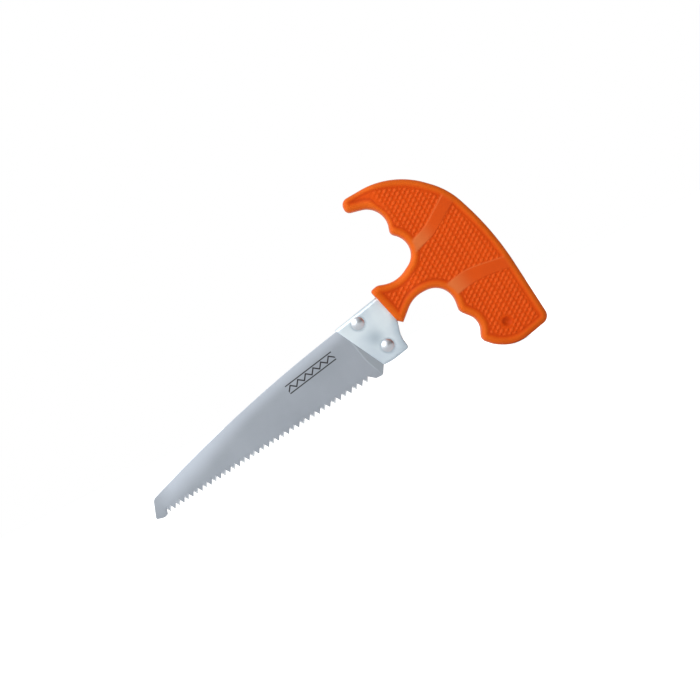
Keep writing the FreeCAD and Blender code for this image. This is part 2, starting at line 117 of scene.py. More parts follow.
# Distances from the outline: where the smooth rim starts to fall, and where the panel's floor begins.
RIM_CROWN = 2.0
PANEL_EDGE = 4.6
PANEL_DEPTH = 0.6
# The ribs' tops lie below the rim by this share of the panel's depth.
RIB_SINK = 0.15
# Widths of the painted shade line round the panels and of the painted highlight along the ribs' upper
# edges.
CREASE_WIDTH = 0.7
CREST_WIDTH = 0.45
DIMPLE = (93.9, 12.2)
DIMPLE_RADIUS = 2.9
DIMPLE_DEPTH = 1.2
# In the hook, above this Z, the lozenges fade out toward the tip between two Xs.
HOOK_FROM_Z = 70.0
TEXTURE_END_X = 58.0
TEXTURE_FULL_X = 66.0
# Rows of mesh points along the rim: over its rounding, then down the slope to the panel.
ROUNDING_TURNS = np.radians([14, 28, 42, 56, 70, 84])
SLOPE_ROWS = [3.5, 3.85, 4.2, 4.55, 4.9]
SMALLEST_SPACING = 0.11

# Lozenges of the panels: one long and one short in each cell of a slanted lattice.
LOZENGE_ROUNDNESS = 1.35
LOZENGE_TOP = 0.35
LATTICE_DOWN = (0.47, -2.50)
LATTICE_ALONG = (4.12, 3.33)
LATTICE_ORIGIN = (3.75, 8.9)
# Mesh points in each cell, down and along, and how many of them reach over the whole grip.
CELL_SAMPLES = (9, 17)
LATTICE_REACH = 900
LOZENGE_ANGLE = math.radians(37.0)
LOZENGES = [
    # place along the lattice step, half length, half width, height
    (0.0, 1.8, 0.98, 0.42),
    (0.56, 1.3, 0.84, 0.35),
]

# Blade: outline as in the CAD source. Nose, spine arc, teeth, then heel and tang.
BLADE_NOSE = [(-111.4, 10.9, 3.0), (-114.84, 0.9, 0.8), (-110.4, -0.12, 3.0), (-108.2, 0.6, 0.4)]
BLADE_SPINE = [(-108.0, 12.15), (-50.0, 31.4), (12.0, 46.6)]
BLADE_HEEL_AND_TANG = [
    (20.3, 15.8, 1.6),
    (24.3, 15.7, 1.6),
    (27.3, 20.9, 0),
    (41.9, 23.4, 1.0),
    (40.9, 29.8, 11.0),
    (43.4, 40.5, 0),
    (47.5, 45.3, 2.0),
    (58.0, 49.2, 1.0),
    (58.0, 53.0, 1.0),
    (50.0, 52.6, 6.0),
    (42.4, 53.2, 0),
]
GROUND_FIELD = [
    (-120.0, -4.0, 0),
    (24.6, -4.0, 0),
    (24.4, 15.5, 0),
    (19.8, 26.0, 40.0),
    (17.3, 37.0, 0),
    (17.3, 60.0, 0),
    (-120.0, 60.0, 0),
]
# Line through the tooth tips: height at X = 0, and rise per millimetre. Each pitch outgrows the last.
TIP_LINE_HEIGHT = 13.8
TIP_LINE_SLOPE = 0.12
FIRST_TIP_X = -105.97
FIRST_PITCH = 2.716
PITCH_GROWTH = 0.01625
TOOTH_COUNT = 41
TOOTH_DEPTH = 2.5
TOOTH_SET = 0.22
TOOTH_BEVEL = 0.65
BLADE_HALF = 0.75
GROUND_HALF = 0.6
BLADE_CHAMFER = 0.15
TOOTH_CHAMFER = 0.05
TIP_LAND = 0.05
GULLET_LAND = 0.3
BLADE_GRID = 1.7
# Rows of mesh points beside the edge of the ground field, outside and inside it.
GRIND_ROWS = (-0.6, -0.3, -0.1, 0.12, 0.35, 0.65)

# Bracket: folded sheet, outline as in the CAD source, starting with the fold over the spine.
BRACKET_OUTLINE = [
    (42.0, 54.3, 0),
    (11.9, 47.6, 0),
    (12.97, 45.67, 0),
    (27.0, 20.3, 0.4),
    (32.0, 20.3, 30.0),
    (42.8, 22.6, 1.5),
    (41.5, 29.6, 11.0),
    (43.9, 39.5, 2.0),
    (47.2, 44.6, 3.0),
    (56.0, 48.6, 4.0),
    (72.0, 49.2, 3.0),
    (77.5, 45.4, 3.0),
    (88.0, 45.4, 2.5),
    (88.0, 61.0, 2.5),
    (77.5, 61.0, 3.0),
    (70.0, 53.9, 3.0),
    (50.0, 53.2, 6.0),
]
SHEET_THICKNESS = 1.0
FOLD_RADIUS = 1.6
SHEET_EDGE = 0.35
INNER_CHAMFER = 0.05
SHEET_GRID = 0.9
# Corners of the field of grid points, which holds the whole sheet.
SHEET_GRID_LOW = (11, 20)
SHEET_GRID_HIGH = (90, 62)
RIVETS = [(24.3, 45.5), (33.2, 28.4)]
RIVET_HEAD_RADIUS = 3.45
DISH_DEPTH = 0.11
DISH_RADIUS = 4.6
WAVE_DEPTH = 0.035
# Middle and size of a painted dark reflection between the rivets.
SHADE_PATCH = (29.2, 34.8)
SHADE_PATCH_RADIUS = 4.2

# Etched band on the front of the blade.
MARK_CENTRE = (-9.0, 33.5)
MARK_TILT = math.radians(11.0)
MARK_HALF_LENGTH = 15.0
MARK_HALF_HEIGHT = 2.3
MARK_PITCH = 2.5
MARK_LINE = 0.32
MARK_SOFTNESS = 0.08


# ---------------------------------------------------------------- plane geometry

def corner_run(before, corner, after, step):
    """Points of the tangent arc at a corner, or the corner itself if it is sharp."""
    apex = np.array(corner[:2], float)
    radius = corner[2]
    if radius <= 0:
        return [apex]
    back = np.array(before[:2], float) - apex
    ahead = np.array(after[:2], float) - apex
    back /= np.linalg.norm(back)
    ahead /= np.linalg.norm(ahead)
    half = math.acos(np.clip(back @ ahead, -1, 1)) / 2
    bisector = (back + ahead) / np.linalg.norm(back + ahead)
    centre = apex + bisector * (radius / math.sin(half))
    first = apex + back * (radius / math.tan(half)) - centre
    last = apex + ahead * (radius / math.tan(half)) - centre
    start = math.atan2(first[1], first[0])
    sweep = math.atan2(last[1], last[0]) - start
    sweep = (sweep + math.pi) % (2 * math.pi) - math.pi
    count = max(2, math.ceil(abs(sweep) * radius / step))
    angles = start + sweep * np.arange(count + 1) / count
    return [centre + radius * np.array([math.cos(a), math.sin(a)]) for a in angles]


def with_line_points(points, step):
    """Closed run of points with long straight stretches divided."""
    dense = []
    for here, following in zip(points, points[1:] + points[:1]):
        length = np.linalg.norm(following - here)
        count = max(1, math.ceil(length / step - 1e-6))
        dense.extend(here + (following - here) * k / count for k in range(count))
    return np.array(dense)


def outline_points(corners, step, line_step=None):
    """Closed outline, counter-clockwise seen from the front, with its own step for straight stretches."""
    points = []
    for k, corner in enumerate(corners):
        run = corner_run(corners[k - 1], corner, corners[(k + 1) % len(corners)], step)
        for point in run:
            if not points or np.linalg.norm(point - points[-1]) > 1e-6:
                points.append(point)
    dense = with_line_points(points, line_step or step)
    return dense if signed_area(dense) > 0 else dense[::-1].copy()


def signed_area(loop):
    """Area of a closed loop, positive if it runs counter-clockwise."""
    following = np.roll(loop, -1, axis=0)
    return 0.5 * np.sum(loop[:, 0] * following[:, 1] - following[:, 0] * loop[:, 1])


def inward_normals(loop):
    """Unit normals that point into a counter-clockwise loop."""
    ahead = np.roll(loop, -1, axis=0) - loop
    ahead /= np.linalg.norm(ahead, axis=1, keepdims=True)
    along = ahead + np.roll(ahead, 1, axis=0)
    along /= np.linalg.norm(along, axis=1, keepdims=True)
    return np.stack([-along[:, 1], along[:, 0]], axis=1)


def distance_to_run(points, run, closed=True, kept=None):
    """Distance of each point from a run of segments, or from those between two kept points."""
    starts = run if closed else run[:-1]
    ends = np.roll(run, -1, axis=0) if closed else run[1:]
    if kept is not None:
        both = kept & np.roll(kept, -1)
        starts, ends = starts[both], ends[both]
    spans = ends - starts
    squares = np.maximum((spans ** 2).sum(axis=1), 1e-12)
    nearest = np.full(len(points), np.inf)
    for chunk in range(0, len(points), 4000):
        part = points[chunk:chunk + 4000]
        gap = part[:, None, :] - starts[None]
        share = np.clip((gap * spans[None]).sum(axis=2) / squares, 0, 1)
        gap -= share[..., None] * spans[None]
        nearest[chunk:chunk + 4000] = np.sqrt((gap ** 2).sum(axis=2)).min(axis=1)
    return nearest


def is_inside(points, loop):
    """True for each point inside a closed loop."""
    x, z = points[:, 0], points[:, 1]
    inside = np.zeros(len(points), bool)
    for (x0, z0), (x1, z1) in zip(loop, np.roll(loop, -1, axis=0)):
        if z0 == z1:
            continue
        crosses = (z0 > z) != (z1 > z)
        inside ^= crosses & (x < (x1 - x0) * (z - z0) / (z1 - z0) + x0)
    return inside


def depth_inside(points, loop):
    """Distance from a closed loop, positive inside it and negative outside."""
    distance = distance_to_run(points, loop)
    return np.where(is_inside(points, loop), distance, -distance)


def smooth_step(low, high, values):
    """0 at low, 1 at high and an S between them. Low may be the larger of the two."""
    share = np.clip((values - low) / (high - low), 0, 1)
    return share * share * (3 - 2 * share)


def triangulate(boundary, inner):
    """Delaunay triangles over a closed boundary and the points in it, numbered in that order."""
    points = [Vector(p) for p in np.vstack([boundary, inner])]
    count = len(boundary)
    edges = [(k, (k + 1) % count) for k in range(count)]
    _, _, faces, origins, _, _ = delaunay_2d_cdt(points, edges, [], 1, 1e-7)
    source = [origin[0] for origin in origins]
    return [tuple(source[k] for k in face) for face in faces]


# ---------------------------------------------------------------- meshes

def make_piece(name, points, faces, materials, face_slots=None, sharp_angle=None):
    """Object from points in millimetres, riding on the saw's only body."""
    mesh = bpy.data.meshes.new(name)
    mesh.from_pydata([tuple(p) for p in np.asarray(points, float) * MM], [], faces)
    for material in materials:
        mesh.materials.append(material)
    if face_slots is not None:
        mesh.polygons.foreach_set("material_index", np.asarray(face_slots, np.int32))
    mesh.update()
    mesh.shade_smooth()
    if sharp_angle is not None:
        mesh.set_sharp_from_angle(angle=math.radians(sharp_angle))
    piece = bpy.data.objects.new(name, mesh)
    bpy.context.scene.collection.objects.link(piece)
    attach(piece, "root")
    return piece


def add_attribute(piece, name, values):
    """Number kept at each point of the mesh, for the materials."""
    attribute = piece.data.attributes.new(name, "FLOAT", "POINT")
    attribute.data.foreach_set("value", np.asarray(values, np.float32))


def bridge(first, second):
    """Outward quads between two closed rings of vertex numbers, the first nearer the front."""
    count = len(first)
    return [
        (first[k], second[k], second[(k + 1) % count], first[(k + 1) % count])
        for k in range(count)
    ]


def at_depth(flat, y):
    """Points on the middle plane moved to the given Y."""
    return np.column_stack([flat[:, 0], np.broadcast_to(y, len(flat)), flat[:, 1]])


# ---------------------------------------------------------------- grip

def grip_half_thickness(x):
    """Half thickness of the grip: thin at the neck, then an S of two arcs up to the hand part."""
    radius = NECK_BLEND_RADIUS
    swing = math.acos(1 - (HAND_HALF - NECK_HALF) / (2 * radius))
    reach = radius * math.sin(swing)
    from_start = np.clip(x - NECK_END_X, 0, reach)
    to_end = np.clip(NECK_END_X + 2 * reach - x, 0, reach)
    lower = NECK_HALF + radius - np.sqrt(radius ** 2 - from_start ** 2)
    upper = HAND_HALF - radius + np.sqrt(radius ** 2 - to_end ** 2)
    return np.where(x < NECK_END_X + reach, lower, upper)


def quarter_round(distance, radius):
    """How far a rounded edge lies below the face, at a distance from the wall."""
    short = np.clip(radius - distance, 0, radius)
    return radius - np.sqrt(radius ** 2 - short ** 2)


def lozenge_height(points):
    """Height of the raised lozenges above the floor of the panels."""
    down = np.array(LATTICE_DOWN)
    along = np.array(LATTICE_ALONG)
    basis = np.linalg.inv(np.column_stack([down, along]))
    direction = np.array([math.cos(LOZENGE_ANGLE), math.sin(LOZENGE_ANGLE)])
    across = np.array([-direction[1], direction[0]])
    height = np.zeros(len(points))
    for place, half_length, half_width, rise in LOZENGES:
        centre = np.array(LATTICE_ORIGIN) + place * along
        cell = np.round((points - centre) @ basis.T)
        for du in (-1, 0, 1):
            for dv in (-1, 0, 1):
                local = points - centre - (cell + (du, dv)) @ np.stack([down, along])
                lengthwise = np.abs(local @ direction) / half_length
                sideways = np.abs(local @ across) / half_width
                reach = lengthwise ** LOZENGE_ROUNDNESS + sideways ** LOZENGE_ROUNDNESS
                height = np.maximum(height, rise * smooth_step(1.0, LOZENGE_TOP, reach))
    return height


def grip_samples(outline):
    """Points inside the grip's face: rows along the edge, then a lattice that suits the lozenges."""
    normals = inward_normals(outline)
    insets = list(WALL_DRAFT + EDGE_RADIUS * (1 - np.cos(ROUNDING_TURNS))) + SLOPE_ROWS
    kept = []
    for inset in insets:
        ring = outline + normals * inset
        clear = distance_to_run(ring, outline) > inset - 0.02
        kept.append(ring[clear & is_inside(ring, outline)])
    low, high = outline.min(axis=0), outline.max(axis=0)
    steps_down, steps_along = CELL_SAMPLES
    down = np.array(LATTICE_DOWN) / steps_down
    along = np.array(LATTICE_ALONG) / steps_along
    numbers = np.arange(-LATTICE_REACH, LATTICE_REACH)
    u, v = np.meshgrid(numbers, numbers, indexing="ij")
    grid = np.array(LATTICE_ORIGIN) + u.reshape(-1, 1) * down + v.reshape(-1, 1) * along
    grid = grid[((grid > low) & (grid < high)).all(axis=1)]
    grid = grid[is_inside(grid, outline)]
    grid = grid[distance_to_run(grid, outline) > insets[-1] + 0.2]
    return np.vstack(kept + [grid])


def thin_out(points, spacing):
    """Drop points that share a small square with an earlier one."""
    cells = np.floor(points / spacing).astype(np.int64)
    _, first = np.unique(cells, axis=0, return_index=True)
    return points[np.sort(first)]


def rib_share(points):
    """1 on the smooth ribs between panels, 0 away from them."""
    share = np.zeros(len(points))
    for corners in (UPPER_RIB, LOWER_RIB):
        loop = outline_points(corners, 1.0)
        share = np.maximum(share, smooth_step(-0.55, 0.25, depth_inside(points, loop)))
    return share


def distance_to_rim(points, outline):
    """Distance from the outline, scaled to widen or narrow the rim in places."""
    x, z = points[:, 0], points[:, 1]
    # under the hook the rim is broad at the tip and narrow in the bay, and over the hook it is narrow
    low = (outline[:, 0] < HOOK_MAX_X) & (outline[:, 1] > HOOK_MIN_Z) & (outline[:, 1] < HOOK_TIP_Z)
    under = distance_to_run(points, outline, kept=low)
    under *= 0.9 + 0.8 * smooth_step(54, 61, x + 0.5 * (92 - z))
    over = distance_to_run(points, outline, kept=~low)
    over *= 1 + 0.55 * smooth_step(72, 52, x) * smooth_step(88, 96, z)
    return np.minimum(under, over)


def rounded_slab(points, outline):
    """Half thickness of the grip before its panels are sunk, with edges rounded less along the collar."""
    collar_line = np.array(COLLAR_LINE)
    collar = distance_to_run(points, collar_line, closed=False)
    beside_collar = distance_to_run(outline, collar_line, closed=False) > 0.3
    sides = distance_to_run(points, outline, kept=beside_collar)
    height = grip_half_thickness(points[:, 0])
    height -= quarter_round(sides - WALL_DRAFT, EDGE_RADIUS)
    height -= quarter_round(collar - WALL_DRAFT, COLLAR_EDGE_RADIUS)
    return height


def painted_crease_tone(points, from_rim, from_dimple, ribs):
    """Painted shade: a dark line round the panels, fainter along the palm side, and a darker floor in the
    dimple.
    """
    x, z = points[:, 0], points[:, 1]
    to_palm = smooth_step(0.0, 20.0, x - 80.0 + 0.25 * z)
    line = np.exp(-((from_rim - PANEL_EDGE) / CREASE_WIDTH) ** 2)
    crease_shade = (0.75 - 0.45 * to_palm) * line * (1 - ribs)
    floor = smooth_step(DIMPLE_RADIUS + 0.2, DIMPLE_RADIUS - 1.0, from_dimple)
    return np.maximum(crease_shade, 0.6 * floor)


def rib_highlight_tone(points, outline, ribs, inside_rim):
    """Painted highlight on the ribs' ends over the finger grooves, and along each rib's upper edge."""
    x, z = points[:, 0], points[:, 1]
    rib_highlight = 0.12 + 0.88 * smooth_step(14.0, 0.0, x - 70.0 - 0.2 * (70.0 - z))
    rib_highlight *= ribs * smooth_step(1.5, 3.5, distance_to_run(points, outline))
    for corners in (UPPER_RIB, LOWER_RIB):
        crest = np.array(open_run(corners[:3], 1.0))
        line = np.exp(-(distance_to_run(points, crest, closed=False) / CREST_WIDTH) ** 2)
        rib_highlight = np.maximum(rib_highlight, 0.5 * line * inside_rim)
    return rib_highlight


def grip_face_height(points, outline):
    """Half thickness at each point of the face, and the tones of painted light and shade that colour it.
    """
    x, z = points[:, 0], points[:, 1]
    from_rim = distance_to_rim(points, outline)
    from_dimple = np.linalg.norm(points - np.array(DIMPLE), axis=1)
    height = rounded_slab(points, outline)
    ribs = rib_share(points)
    inside_rim = smooth_step(RIM_CROWN, PANEL_EDGE, from_rim)
    height -= PANEL_DEPTH * inside_rim * (1 - (1 - RIB_SINK) * ribs)
    textured = smooth_step(PANEL_EDGE - 0.1, PANEL_EDGE + 0.7, from_rim)
    textured *= 1 - smooth_step(0.0, 0.5, ribs)
    textured *= np.where(z < HOOK_FROM_Z, 1, smooth_step(TEXTURE_END_X, TEXTURE_FULL_X, x))
    textured *= smooth_step(DIMPLE_RADIUS + 0.2, DIMPLE_RADIUS + 1.0, from_dimple)
    raised = lozenge_height(points) * textured
    height += raised
    height -= DIMPLE_DEPTH * smooth_step(DIMPLE_RADIUS + 0.1, DIMPLE_RADIUS - 2.2, from_dimple)
    # tones that paint light and shade: a painted highlight on the rim, on the lozenges' tops and on the
    # ribs, and painted shade in the crease round the panels and in the dimple
    tones = {
        "rim": 1 - inside_rim,
        # the lozenges' height also sets a painted highlight on their tops, which leaves painted shade in
        # the valleys between them
        "raised": raised / LOZENGES[0][3],
        "crease_shade": painted_crease_tone(points, from_rim, from_dimple, ribs),
        "rib_highlight": rib_highlight_tone(points, outline, ribs, inside_rim),
    }
    return height, tones


def make_grip(material):
    """Rubber grip: two sculpted faces joined by a wall with a fine parting ridge."""
    outline = outline_points(GRIP_OUTLINE, OUTLINE_STEP)
    normals = inward_normals(outline)
    edge = outline + normals * WALL_DRAFT
    inner = thin_out(grip_samples(outline), SMALLEST_SPACING)
    faces = triangulate(edge, inner)
    flat = np.vstack([edge, inner])
    height, tones = grip_face_height(flat, outline)
    points = [at_depth(flat, -height), at_depth(flat, height)]
    count = len(edge)
    offset = len(flat)
    total = 2 * offset
    rings = [list(range(count))]
    for share, inset in GRIP_WALL:
        points.append(at_depth(outline + normals * inset, share * height[:count]))
        rings.append(list(range(total, total + count)))
        total += count
    rings.append(list(range(offset, offset + count)))
    faces += [tuple(k + offset for k in reversed(face)) for face in faces]
    for first, second in zip(rings, rings[1:]):
        faces += bridge(first, second)
    grip = make_piece("grip_rubber_skin", np.vstack(points), faces, [material], sharp_angle=50)
    for name, values in tones.items():
        # the wall takes the rim's painted highlight in full and no other tone
        wall = np.full(total - 2 * offset, float(name == "rim"))
        add_attribute(grip, name, np.concatenate([values, values, wall]))
    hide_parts("grip")


# ---------------------------------------------------------------- blade

def arc_through(start, middle, end, step):
    """Points of the arc through three points, without the last one."""
    (ax, az), (bx, bz), (cx, cz) = start, middle, end
    d = 2 * (ax * (bz - cz) + bx * (cz - az) + cx * (az - bz))
    sa, sb, sc = ax * ax + az * az, bx * bx + bz * bz, cx * cx + cz * cz
    ox = (sa * (bz - cz) + sb * (cz - az) + sc * (az - bz)) / d
    oz = (sa * (cx - bx) + sb * (ax - cx) + sc * (bx - ax)) / d
    radius = math.hypot(ax - ox, az - oz)
    first = math.atan2(az - oz, ax - ox)
    sweep = (math.atan2(cz - oz, cx - ox) - first + math.pi) % (2 * math.pi) - math.pi
    count = math.ceil(abs(sweep) * radius / step)
    angles = first + sweep * np.arange(count) / count
    return [np.array([ox + radius * math.cos(a), oz + radius * math.sin(a)]) for a in angles]


def open_run(corners, step):
    """Points along corners with rounded bends, from the first corner up to but without the last."""
    points = [np.array(corners[0][:2], float)]
    for before, corner, after in zip(corners, corners[1:], corners[2:]):
        points += corner_run(before, corner, after, step)
    points.append(np.array(corners[-1][:2], float))
    dense = []
    for here, following in zip(points, points[1:]):
        count = max(1, math.ceil(np.linalg.norm(following - here) / step))
        dense.extend(here + (following - here) * k / count for k in range(count))
    return dense


def tip_line(x):
    """Height of the line through the tooth tips."""
    return TIP_LINE_HEIGHT + TIP_LINE_SLOPE * x


def tooth_corners():
    """Gullet, tip, gullet and so on, from the nose to the heel."""
    points = []
    x, pitch = FIRST_TIP_X, FIRST_PITCH
    for _ in range(TOOTH_COUNT):
        gullet_x = x - pitch / 2
        points.append((gullet_x, tip_line(gullet_x) + TOOTH_DEPTH))
        points.append((x, tip_line(x)))
        x += pitch
        pitch += PITCH_GROWTH
    gullet_x = x - pitch / 2
    points.append((gullet_x, tip_line(gullet_x) + TOOTH_DEPTH))
    return points


def blade_outline():
    """Blade outline, and for each of its edges the number of its tooth, or -1."""
    teeth = tooth_corners()
    nose = open_run([(*BLADE_SPINE[0], 0)] + BLADE_NOSE + [(*teeth[0], 0)], 1.0)
    heel = open_run([(*teeth[-1], 0)] + BLADE_HEEL_AND_TANG + [(*BLADE_SPINE[2], 0)], 1.5)
    spine = arc_through(*reversed(BLADE_SPINE), 1.5)
    outline = np.array(nose + [np.array(t) for t in teeth[:-1]] + heel + spine)
    tooth = np.full(len(outline), -1)
    first = len(nose)
    tooth[first:first + len(teeth) - 1] = np.arange(len(teeth) - 1) // 2
    return outline, tooth


def inset_loop(loop, insets):
    """Loop moved inward edge by edge: each inset belongs to the edge that starts at its point."""
    ahead = np.roll(loop, -1, axis=0) - loop
    ahead /= np.linalg.norm(ahead, axis=1, keepdims=True)
    normals = np.stack([-ahead[:, 1], ahead[:, 0]], axis=1)
    moved = loop.copy()
    for k in range(len(loop)):
        before, after = normals[k - 1], normals[k]
        turn = before[0] * after[1] - before[1] * after[0]
        if abs(turn) < 0.03:
            moved[k] += 0.5 * (before * insets[k - 1] + after * insets[k])
        else:
            moved[k] += np.linalg.solve(np.array([before, after]), [insets[k - 1], insets[k]])
    return moved


def ground_share(points):
    """1 where the blade is ground thin, 0 near the handle, with a short ramp between."""
    field = outline_points(GROUND_FIELD, 1.0)
    return smooth_step(-0.3, 0.35, depth_inside(points, field))


def blade_half_thickness(points):
    """Half thickness of the blade: thinner where it is ground."""
    return BLADE_HALF - (BLADE_HALF - GROUND_HALF) * ground_share(points)


def tooth_set(points):
    """Sideways bend of the teeth, to the front and to the back in turn."""
    x, z = points[:, 0], points[:, 1]
    tips_x = np.array(tooth_corners())[1::2, 0]
    share = np.clip((tip_line(x) + TOOTH_DEPTH - z) / TOOTH_DEPTH, 0, 1)
    share[(x < tips_x[0] - 2) | (x > tips_x[-1] + 2)] = 0
    nearest = np.abs(x[:, None] - tips_x[None]).argmin(axis=1)
    return TOOTH_SET * share * np.where(nearest % 2 == 0, -1, 1)


def painted_spine_sheen(points):
    """Share of painted sheen: most at the spine, fading toward the teeth and at the nose."""
    x = points[:, 0]
    spine = np.array(arc_through(*BLADE_SPINE, 1.5))
    reach = 7.5 + 5.0 * smooth_step(-40, -90, x)
    share = smooth_step(1.0, 0.0, distance_to_run(points, spine, closed=False) / reach)
    share *= 0.8 + 0.2 * smooth_step(-50, -85, x)
    return share * (0.25 + 0.75 * smooth_step(-112, -98, x))


def square_grid(low, high, step):
    """Points of a square grid from the low corner to before the high one."""
    x, z = np.meshgrid(np.arange(low[0], high[0], step), np.arange(low[1], high[1], step), indexing="ij")
    return np.column_stack([x.ravel(), z.ravel()])


def blade_samples(outline):
    """Points inside the blade: a coarse grid, and close rows along the edge of the ground field."""
    low, high = outline.min(axis=0), outline.max(axis=0)
    grid = square_grid(low, high, BLADE_GRID)
    field = outline_points(GROUND_FIELD, 0.9)
    grid = grid[distance_to_run(grid, field) > 1.0]
    rows = [field + inward_normals(field) * shift for shift in GRIND_ROWS]
    points = np.vstack(rows + [grid])
    return points[is_inside(points, outline)]


def blade_face(loop, samples):
    """Triangles over one face of the blade: (flat points, faces)."""
    inner = samples[depth_inside(samples, loop) > 0.45]
    return np.vstack([loop, inner]), triangulate(loop, inner)


def edge_middle_rings(outline, tooth):
    """The two middle rings of the blade's edge, front and back.

    They bound a narrow land, which lies at the far side of a filed tip and in the middle of a gullet.
    """
    is_tip = (tooth >= 0) & (np.roll(tooth, 1) == tooth)
    half = blade_half_thickness(outline)
    lean = np.where(is_tip, np.where(tooth % 2 == 0, 1, -1), 0)
    land = np.where(is_tip, TIP_LAND, np.where(tooth >= 0, GULLET_LAND, half - BLADE_CHAMFER))
    middle = tooth_set(outline) + lean * (half - 2 * TIP_LAND - land)
    return at_depth(outline, middle - land), at_depth(outline, middle + land)


def make_blade(satin, ground):
    """Blade with set teeth, filed from the front and from the back in turn, and fine chamfers."""
    outline, tooth = blade_outline()
    samples = blade_samples(outline)
    filed_front = (tooth >= 0) & (tooth % 2 == 0)
    filed_back = (tooth >= 0) & (tooth % 2 == 1)
    filed_nowhere = np.zeros(len(outline), bool)
    chamfer = np.where(tooth >= 0, TOOTH_CHAMFER, BLADE_CHAMFER)
    front_loop = inset_loop(outline, np.where(filed_front, TOOTH_BEVEL, chamfer))
    back_loop = inset_loop(outline, np.where(filed_back, TOOTH_BEVEL, chamfer))
    front_flat, front_faces = blade_face(front_loop, samples)
    back_flat, back_faces = blade_face(back_loop, samples)
    front_middle, back_middle = edge_middle_rings(outline, tooth)
    points = [
        at_depth(front_flat, tooth_set(front_flat) - blade_half_thickness(front_flat)),
        front_middle,
        back_middle,
        at_depth(back_flat, tooth_set(back_flat) + blade_half_thickness(back_flat)),
    ]
    starts = [sum(len(group) for group in points[:k]) for k in range(len(points))]
    rings = [list(range(start, start + len(outline))) for start in starts]
    faces = list(front_faces)
    slots = [0] * len(faces)
    for first, second, filed in zip(rings, rings[1:], (filed_front, filed_nowhere, filed_back)):
        faces += bridge(first, second)
        slots += [int(k) for k in filed]
    faces += [tuple(k + starts[3] for k in reversed(face)) for face in back_faces]
    slots += [0] * len(back_faces)
    everything = np.vstack(points)
    blade = make_piece("toothed_blade", everything, faces, [satin, ground], slots, sharp_angle=28)
    # painted sheen along the spine
    add_attribute(blade, "painted_sheen", painted_spine_sheen(everything[:, [0, 2]]))
    # darker unground heel: its mill finish, and painted shade beside the bracket
    add_attribute(blade, "rolled_finish_and_shade", 1 - ground_share(everything[:, [0, 2]]))
    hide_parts("saw_blade")


# ---------------------------------------------------------------- bracket

def sheet_wave(points, loop):
    """Shallow dishes that the rivets press into the sheet, and a slight long wave."""
    sink = np.zeros(len(points))
    for centre in RIVETS:
        distance = np.linalg.norm(points - np.array(centre), axis=1)
        sink += DISH_DEPTH * np.exp(-(distance / DISH_RADIUS) ** 2)
    wave = WAVE_DEPTH * np.sin(points[:, 0] / 5.2 + 0.8) * np.sin(points[:, 1] / 6.1 + 0.4)
    return (sink + wave) * smooth_step(0.3, 3.5, depth_inside(points, loop))


def bracket_rings(outline, on_fold):
    """Rings over the sheet's edge, from the front face round to the inside of the front leaf."""
    half = BLADE_HALF + SHEET_THICKNESS
    rings = []
    for turn in np.radians([0, 22.5, 45, 67.5, 90]):
        radius = np.where(on_fold, FOLD_RADIUS, SHEET_EDGE)
        flat = inset_loop(outline, radius * (1 - math.sin(turn)))
        point_radius = np.where(on_fold | np.roll(on_fold, 1), FOLD_RADIUS, SHEET_EDGE)
        rings.append(at_depth(flat, -(half - point_radius * (1 - math.cos(turn)))))
    return rings


def bracket_painted_shade(points, outline):
    """Painted shade on the sheet: a painted dark reflection between the rivets, and painted shade round
    the rivets' heads and along the rear and lower edges.
    """
    x, z = points[:, 0], points[:, 1]
    from_patch = np.linalg.norm(points - np.array(SHADE_PATCH), axis=1)
    patch = 0.65 * np.exp(-(from_patch / SHADE_PATCH_RADIUS) ** 2)
    from_edge = distance_to_run(points, outline)
    edge = 0.85 * smooth_step(1.3, 0.1, from_edge) * smooth_step(25, 30, x)
    rear = 0.45 * smooth_step(5.0, 1.0, from_edge) * smooth_step(35, 41, x)
    painted_shade = np.maximum(patch, np.maximum(edge, rear) * smooth_step(50, 46, z))
    for centre in RIVETS:
        distance = np.linalg.norm(points - np.array(centre), axis=1)
        painted_shade = np.maximum(painted_shade, 0.7 * smooth_step(1.2, 0.2, np.abs(distance - RIVET_HEAD_RADIUS)))
    return painted_shade


def bracket_outline():
    """Outline of the folded sheet, turned so that its first edge is the fold over the spine."""
    outline = outline_points(BRACKET_OUTLINE, 0.8, line_step=math.inf)
    start = int(np.argmin(np.linalg.norm(outline - np.array(BRACKET_OUTLINE[0][:2]), axis=1)))
    return np.roll(outline, -start, axis=0)


def bracket_leaf(outline, on_fold):
    """One leaf of the sheet, in front: (points, faces, rings from its face round to its inside)."""
    half = BLADE_HALF + SHEET_THICKNESS
    outer = bracket_rings(outline, on_fold)
    face_loop = outer[0][:, [0, 2]]
    grid = square_grid(SHEET_GRID_LOW, SHEET_GRID_HIGH, SHEET_GRID)
    grid = grid[depth_inside(grid, face_loop) > 0.5]
    at_fold = np.arange(len(outline)) < 2
    edge = at_depth(outline, np.where(at_fold, 0.0, -BLADE_HALF - INNER_CHAMFER))
    inner_flat = inset_loop(outline, np.where(on_fold, SHEET_THICKNESS, INNER_CHAMFER))
    sculpted = at_depth(grid, sheet_wave(grid, face_loop) - half)
    points = [outer[0], sculpted] + outer[1:] + [edge, at_depth(inner_flat, -BLADE_HALF)]
    count = len(outline)
    starts = [0] + [count * k + len(grid) for k in range(1, len(points) - 1)]
    rings = [list(range(start, start + count)) for start in starts]
    faces = triangulate(face_loop, grid)
    for first, second in zip(rings[:-2], rings[1:-1]):
        faces += bridge(first, second)
    faces += bridge(rings[-2], rings[-1])[1:]
    inside = triangulate(inner_flat, np.zeros((0, 2)))
    faces += [tuple(k + starts[-1] for k in reversed(face)) for face in inside]
    return np.vstack(points), faces, rings


